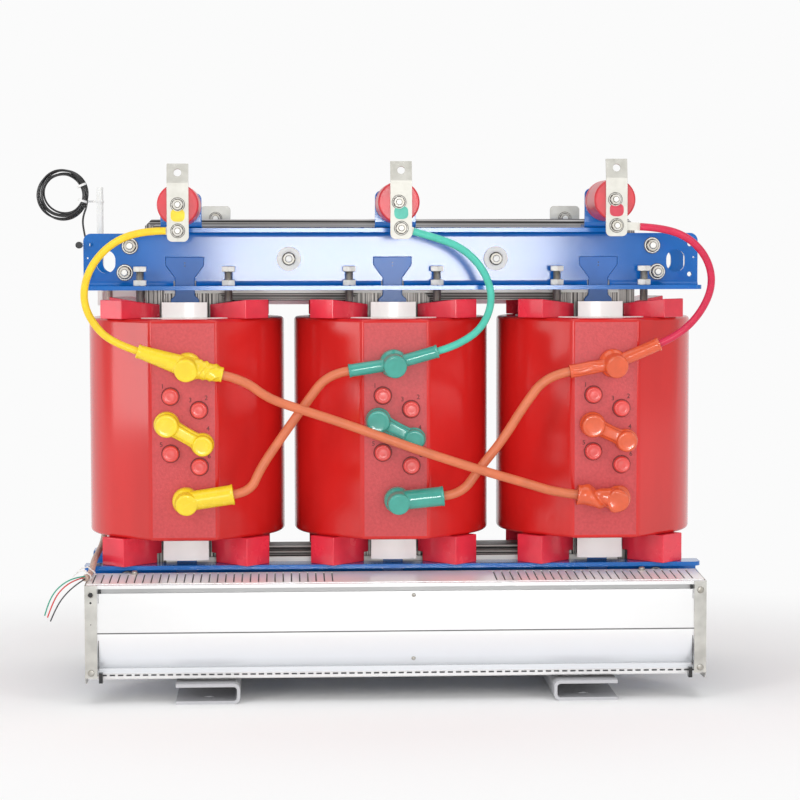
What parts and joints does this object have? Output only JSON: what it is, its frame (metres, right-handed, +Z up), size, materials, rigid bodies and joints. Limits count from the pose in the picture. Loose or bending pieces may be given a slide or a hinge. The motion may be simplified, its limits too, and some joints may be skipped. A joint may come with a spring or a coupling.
{
  "type": "dry-type transformer",
  "caption": "Dry-type power transformer: cast-resin coils on a laminated core between folded clamps, post insulators with flat terminal bars on top and cross-flow cooling fans along the base.",
  "frame": {"origin": "on the floor, at the middle of the base rails' four bolt holes", "axes": "+X right along the row of coils seen from the high-voltage front, +Y towards the low-voltage rear, +Z up"},
  "size_m": [1.3081, 0.5795, 1.0155],
  "materials": {
    "core_steel": "laminated, satin varnish",
    "clamp_paint": "gloss blue enamel",
    "zinc": "zinc plated",
    "insulation": "pressboard and resin, matt",
    "coil_resin": "cast resin, glossy",
    "lv_winding": "resin impregnated foil",
    "pad_resin": "cast resin blocks",
    "tinned_bar": "tinned, satin",
    "neutral_paint": "cream enamel",
    "yellow_silicone": "silicone, satin",
    "green_silicone": "silicone, satin",
    "red_silicone": "silicone, satin",
    "orange_silicone": "silicone, satin",
    "plug_resin": "resin, glossy",
    "fan_sheet": "silver paint, satin",
    "fan_motor": "grey casting",
    "black_cable": "black sheath",
    "tie_nylon": "nylon",
    "loom_sheath": "braided sheath"
  },
  "bodies": {
    "root": {"base_rails": "clamp_paint", "clamp_pedestals": "clamp_paint", "core_limb_a": "core_steel", "core_limb_b": "core_steel", "core_limb_c": "core_steel", "core_yoke_upper": "core_steel", "core_yoke_lower": "core_steel", "upper_clamp_front": "clamp_paint", "upper_clamp_rear": "clamp_paint", "lower_clamp_front": "clamp_paint", "lower_clamp_rear": "clamp_paint", "tie_plates": "clamp_paint", "yoke_insulation": "insulation", "frame_bolts": "zinc", "insulating_washers": "insulation", "coil_jack_bolts": "zinc", "hv_coil_a": "coil_resin", "hv_coil_b": "coil_resin", "hv_coil_c": "coil_resin", "lv_coil_a": "lv_winding", "lv_coil_b": "lv_winding", "lv_coil_c": "lv_winding", "barrier_cylinders": "insulation", "upper_coil_pads": "pad_resin", "lower_coil_pads": "pad_resin", "tap_plugs": "plug_resin", "tap_link_covers": "red_silicone", "upper_boot_a": "yellow_silicone", "upper_boot_b": "green_silicone", "upper_boot_c": "orange_silicone", "lower_boot_a": "yellow_silicone", "lower_boot_b": "green_silicone", "lower_boot_c": "orange_silicone", "hv_brackets": "clamp_paint", "hv_insulators": "coil_resin", "hv_bars": "tinned_bar", "hv_bar_bolts": "zinc", "hv_lugs": "tinned_bar", "line_lead_a": "yellow_silicone", "line_lead_b": "green_silicone", "line_lead_c": "red_silicone", "delta_lead_a": "orange_silicone", "delta_lead_b": "orange_silicone", "delta_lead_c": "orange_silicone", "lv_bars": "tinned_bar", "neutral_bar": "neutral_paint", "lv_bar_supports": "insulation", "fan_covers": "fan_sheet", "fan_scrolls": "fan_sheet", "fan_grilles": "fan_sheet", "fan_end_plates": "fan_sheet", "fan_motors": "fan_motor", "sensor_cable_coil": "black_cable", "sensor_cable_tail": "black_cable", "sensor_gland": "black_cable", "cable_ties": "tie_nylon", "fan_loom": "loom_sheath", "fan_wires": "red_silicone"},
    "rotor_front": {"fan_rotor_front": "fan_sheet"},
    "rotor_rear": {"fan_rotor_rear": "fan_sheet"}
  },
  "joints": [
    {"name": "fan_front_spin", "type": "hinge", "parent": "root", "child": "rotor_front", "pos_m": [0, -0.209, 0.135], "axis": [1, 0, 0], "continuous": true},
    {"name": "fan_rear_spin", "type": "hinge", "parent": "root", "child": "rotor_rear", "pos_m": [0, 0.209, 0.135], "axis": [1, 0, 0], "continuous": true}
  ]
}
